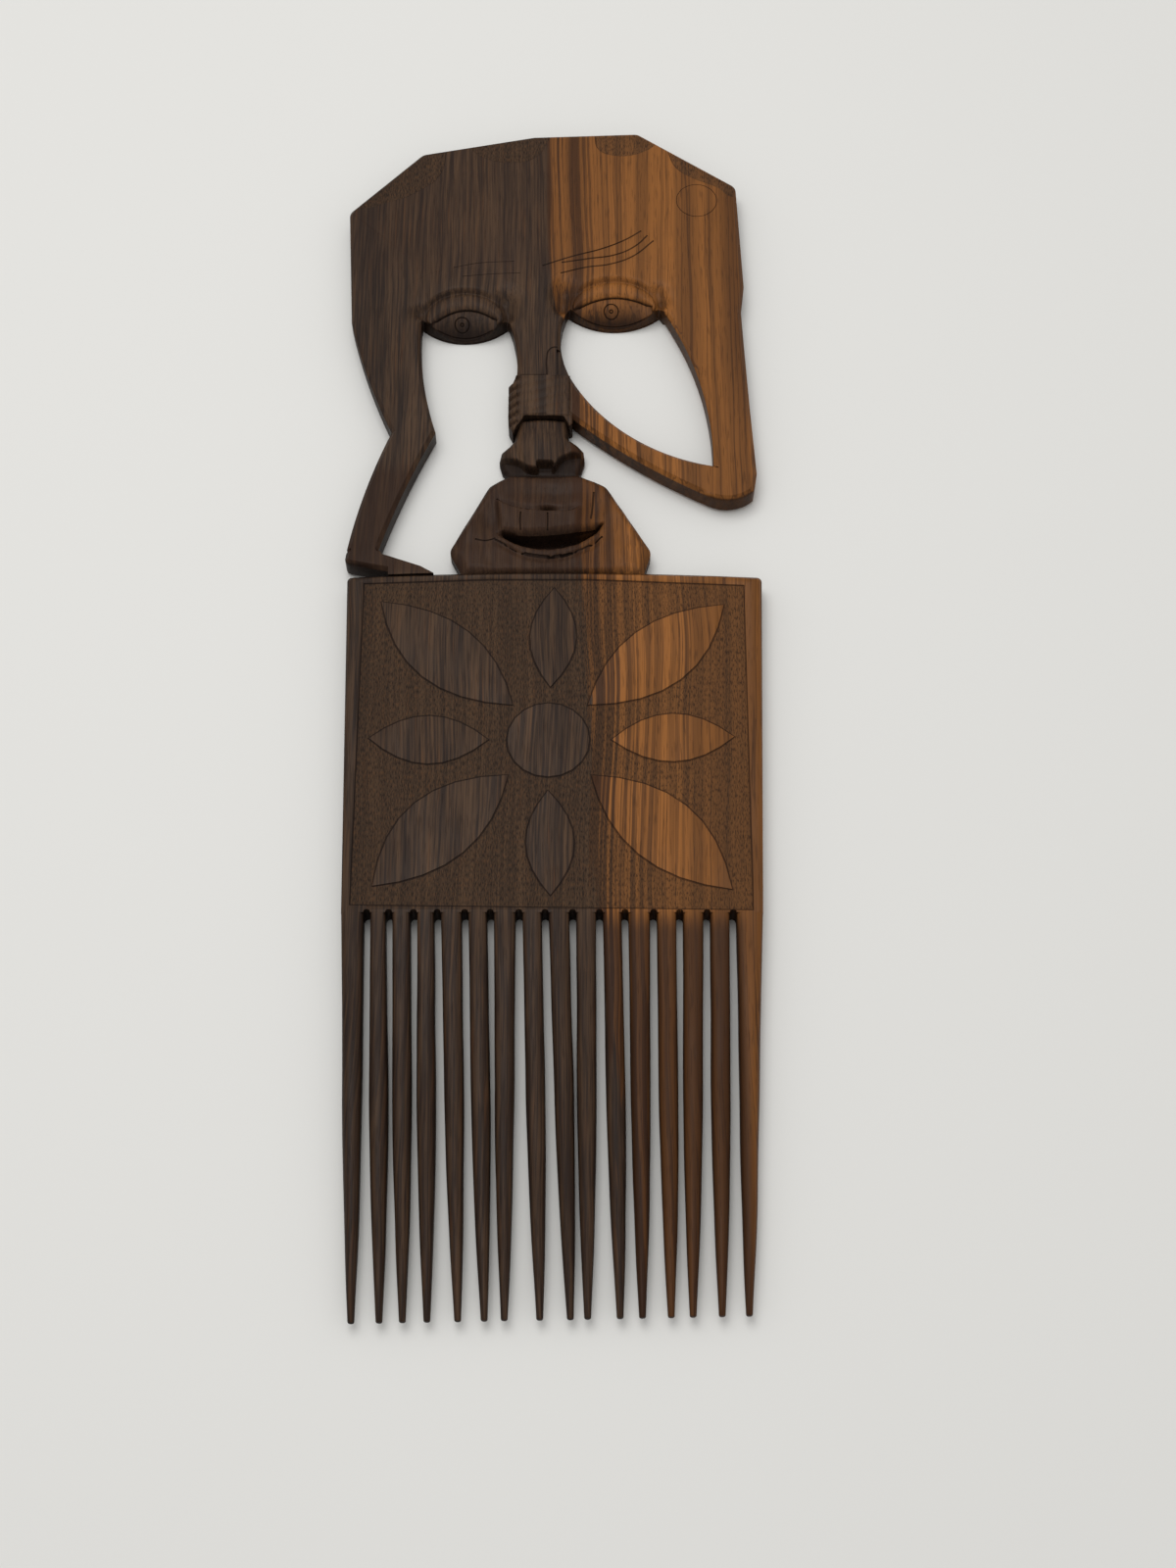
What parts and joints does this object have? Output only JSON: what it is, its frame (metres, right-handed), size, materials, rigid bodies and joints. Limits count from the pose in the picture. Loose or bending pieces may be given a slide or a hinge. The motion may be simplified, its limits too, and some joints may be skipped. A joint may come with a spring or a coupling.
{
  "type": "afro pick",
  "caption": "Carved hardwood hair pick: a flat comb panel with long tapered teeth under a pierced figural head whose cheeks are a bent leg and a bent arm.",
  "frame": {"origin": "middle of the comb panel's flat back", "axes": "+X across the comb, +Y from the teeth to the crown of the head, +Z out of the carved front"},
  "size_m": [0.1328, 0.4046, 0.0087],
  "materials": {
    "dark_wood": "satin polished dark heartwood with straight grain",
    "brown_wood": "satin polished orange-brown heartwood with dark straight grain"
  },
  "bodies": {
    "root": {"comb_panel": "dark_wood", "tooth_01": "dark_wood", "tooth_02": "dark_wood", "tooth_03": "dark_wood", "tooth_04": "dark_wood", "tooth_05": "dark_wood", "tooth_06": "dark_wood", "tooth_07": "dark_wood", "tooth_08": "dark_wood", "tooth_09": "dark_wood", "tooth_10": "dark_wood", "tooth_11": "dark_wood", "thigh": "dark_wood", "shin": "dark_wood", "foot": "dark_wood", "forehead": "dark_wood", "left_eye": "dark_wood", "nose_bridge": "dark_wood", "hand": "dark_wood", "nose": "dark_wood", "mouth": "dark_wood", "tooth_12": "brown_wood", "tooth_13": "brown_wood", "tooth_14": "brown_wood", "tooth_15": "brown_wood", "tooth_16": "brown_wood", "upper_arm": "brown_wood", "forearm": "brown_wood", "right_eye": "brown_wood"}
  },
  "joints": []
}
